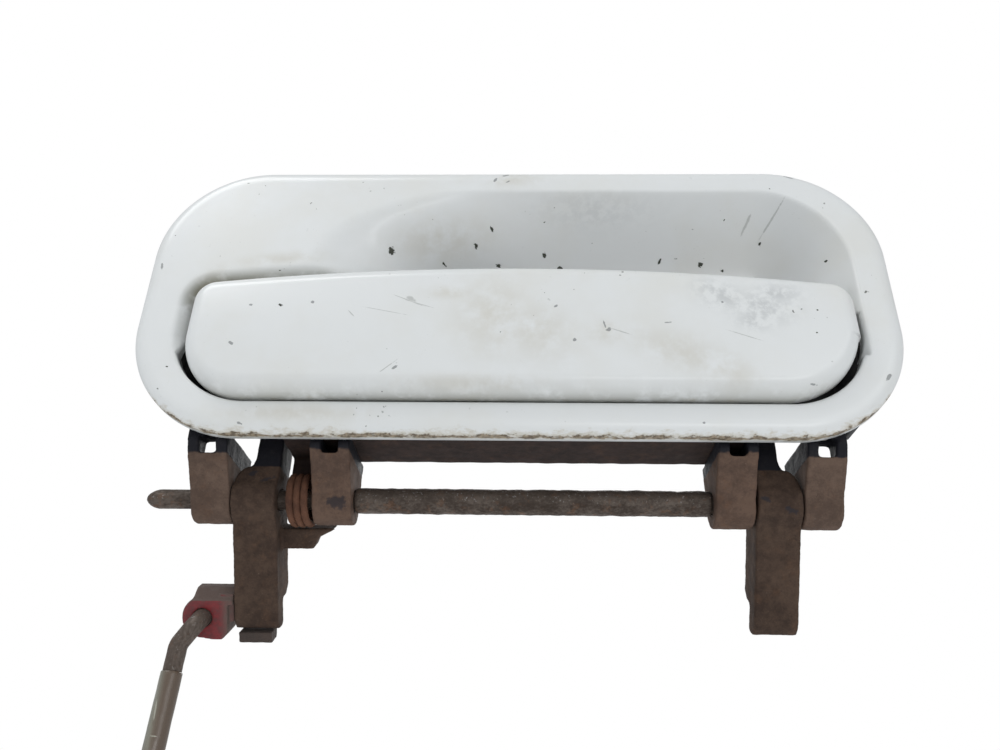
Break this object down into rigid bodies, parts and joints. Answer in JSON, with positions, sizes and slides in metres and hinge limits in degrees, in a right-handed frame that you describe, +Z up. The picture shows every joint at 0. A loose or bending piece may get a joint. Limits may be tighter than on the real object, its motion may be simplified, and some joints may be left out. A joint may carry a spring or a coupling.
{
  "type": "vehicle door outside handle",
  "caption": "Painted pull-flap door handle with a finger dish, pinned hinge arms, return spring and a hanging link rod.",
  "frame": {"origin": "middle of the bezel, in the plane of the door skin that the rim is clamped to", "axes": "+X along the handle to the right as seen from outside, +Y into the door, +Z up"},
  "size_m": [0.1818, 0.045, 0.2512],
  "materials": {
    "white_paint": "aged gloss white paint",
    "dusty_steel": "rust-brown and dusty",
    "black_steel": "satin black paint",
    "pin_steel": "worn zinc with rust film",
    "rod_steel": "dull zinc",
    "spring_steel": "orange-brown rust",
    "zinc_screw": "zinc",
    "black_plastic": "matte",
    "black_rubber": "matte",
    "red_plastic": "faded, dusty",
    "sleeve_plastic": "translucent grey-green"
  },
  "bodies": {
    "housing": {"bezel": "white_paint", "bezel_gasket": "black_rubber", "left_stud": "zinc_screw", "right_stud": "zinc_screw", "rear_cover": "black_plastic", "left_cover_screw": "zinc_screw", "right_cover_screw": "zinc_screw", "hinge_pin": "pin_steel", "spacer_tube": "pin_steel", "return_spring": "spring_steel", "hinge_rail": "dusty_steel", "left_inner_bracket": "dusty_steel", "right_inner_bracket": "dusty_steel", "left_outer_bracket": "black_steel", "right_outer_bracket": "black_steel", "left_rail_screw": "zinc_screw", "middle_rail_screw": "zinc_screw", "right_rail_screw": "zinc_screw", "left_outer_bracket_screw": "zinc_screw", "left_inner_bracket_screw": "zinc_screw", "right_outer_bracket_screw": "zinc_screw", "right_inner_bracket_screw": "zinc_screw", "flap_buffer": "black_rubber"},
    "handle": {"flap": "white_paint", "left_arm": "dusty_steel", "right_arm": "dusty_steel", "left_lower_flap_screw": "zinc_screw", "left_upper_flap_screw": "zinc_screw", "right_lower_flap_screw": "zinc_screw", "right_upper_flap_screw": "zinc_screw", "arm_buffer": "black_rubber"},
    "clip": {"rod_clip": "red_plastic"},
    "rod": {"link_rod": "rod_steel", "rod_sleeve": "sleeve_plastic"}
  },
  "joints": [
    {"name": "flap_hinge", "type": "hinge", "parent": "housing", "child": "handle", "pos_m": [0, 0.016, -0.0474], "axis": [1, 0, 0], "range_deg": [0, 30], "stiffness_Nm_per_rad": 0.4, "springref_deg": -25.78, "deforming": ["return_spring"]},
    {"name": "clip_swivel", "type": "hinge", "parent": "handle", "child": "clip", "pos_m": [-0.0678, 0.02851, -0.0693], "axis": [1, 0, 0], "range_deg": [-30, 30]},
    {"name": "rod_swing", "type": "hinge", "parent": "clip", "child": "rod", "pos_m": [-0.0734, 0.02668, -0.0728], "axis": [0, 0.848, 0.5299], "range_deg": [-20, 20]}
  ]
}
